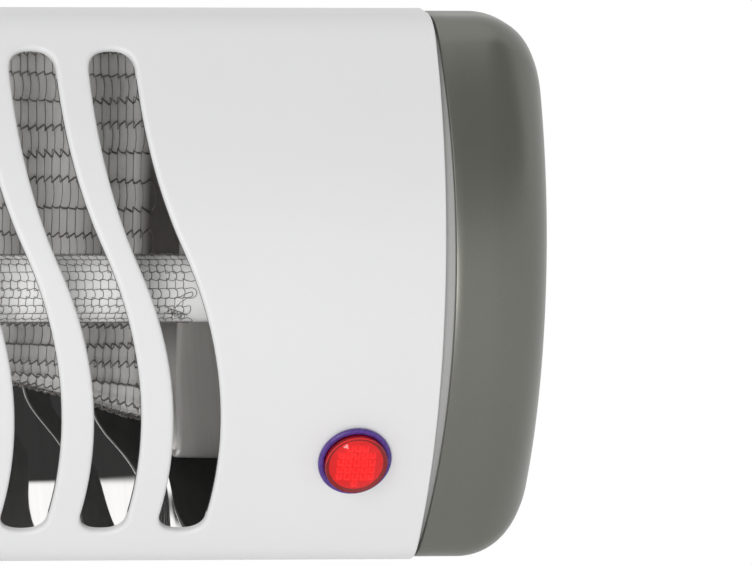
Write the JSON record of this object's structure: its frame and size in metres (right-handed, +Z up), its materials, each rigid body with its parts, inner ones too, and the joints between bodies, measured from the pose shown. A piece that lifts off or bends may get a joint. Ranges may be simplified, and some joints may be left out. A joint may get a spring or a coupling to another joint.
{
  "type": "changing table heat lamp",
  "caption": "Wall-mounted infrared heat lamp: a sleeved quartz tube in a mirror trough behind a wave-slotted front, with rounded end caps, tilt bracket, pilot lamp and pull switch.",
  "frame": {"origin": "middle of the wall bracket's back face, on the wall", "axes": "+X along the lamp towards the pilot lamp's end, +Y into the wall, +Z up; the grille faces -Y"},
  "size_m": [0.4502, 0.104, 0.1139],
  "materials": {
    "bracket_steel": "light grey powder coat, satin",
    "fibre": "pressed fibre washer",
    "zinc": "zinc plated fasteners",
    "stud_steel": "turned steel",
    "knob": "black moulded hand knob",
    "housing_white": "white satin coat over sheet, fine grain",
    "cover_white": "white satin coat over sheet",
    "frame_grey": "light grey moulding",
    "cap_grey": "satin warm grey moulding",
    "reflector": "mirror-bright rolled sheet",
    "sheet": "mill finish sheet",
    "quartz": "milky quartz",
    "coil": "dark oxidised resistance wire",
    "mesh": "knitted stainless wire",
    "ceramic": "white glazed ceramic, opaque",
    "tab": "nickel plated tab",
    "bezel": "violet ring, gloss",
    "lens": "translucent red lens",
    "lamp_body": "black nylon",
    "phenolic": "brown moulding with a steel cap",
    "nylon": "natural nylon",
    "brass": "brass screws",
    "spring": "spring wire",
    "lead": "silicone-insulated lead"
  },
  "bodies": {
    "bracket": {"wall_bracket": "bracket_steel", "pivot_washer_left": "fibre", "pivot_washer_right": "fibre"},
    "head": {"tilt_ear_left": "bracket_steel", "tilt_ear_right": "bracket_steel", "ear_screws": "zinc", "ear_nuts": "zinc", "pivot_nuts": "zinc", "front_housing": "housing_white", "rear_cover": "cover_white", "end_frame_left": "frame_grey", "end_frame_right": "frame_grey", "end_cap_left": "cap_grey", "end_cap_right": "cap_grey", "cap_screws": "zinc", "cover_screws": "zinc", "reflector": "reflector", "reflector_end_left": "reflector", "reflector_end_right": "reflector", "reflector_stay_left": "sheet", "reflector_stay_right": "sheet", "reflector_rivets": "sheet", "quartz_tube": "quartz", "heating_coil": "coil", "mesh_sleeve": "mesh", "ceramic_holder_left": "ceramic", "ceramic_holder_right": "ceramic", "holder_clip_left": "sheet", "holder_clip_right": "sheet", "element_terminal_left": "tab", "element_terminal_right": "tab", "pilot_bezel": "bezel", "pilot_lens": "lens", "pilot_body": "lamp_body", "pilot_nut": "lamp_body", "thermal_cutout": "phenolic", "terminal_block": "nylon", "terminal_screws": "brass", "cable_gland": "nylon", "gland_nut": "nylon", "switch_body": "nylon", "pull_spring": "spring", "cord_bush": "nylon", "internal_leads": "lead"},
    "knob_left": {"lock_stud_left": "stud_steel", "lock_knob_left": "knob"},
    "knob_right": {"lock_stud_right": "stud_steel", "lock_knob_right": "knob"},
    "pull": {"pull_rod": "nylon"}
  },
  "joints": [
    {"name": "tilt", "type": "hinge", "parent": "bracket", "child": "head", "pos_m": [0, -0.026, -0.008], "axis": [1, 0, 0], "range_deg": [0, 40]},
    {"name": "knob_left_turn", "type": "hinge", "parent": "head", "child": "knob_left", "pos_m": [-0.133, -0.026, -0.008], "axis": [-1, 0, 0], "continuous": true},
    {"name": "knob_right_turn", "type": "hinge", "parent": "head", "child": "knob_right", "pos_m": [0.133, -0.026, -0.008], "axis": [1, 0, 0], "continuous": true},
    {"name": "pull_switch", "type": "slide", "parent": "head", "child": "pull", "axis": [0, 0, -1], "range_m": [0, 0.007], "stiffness_N_per_m": 800, "springref_m": -0.003, "deforming": ["pull_spring"]}
  ]
}
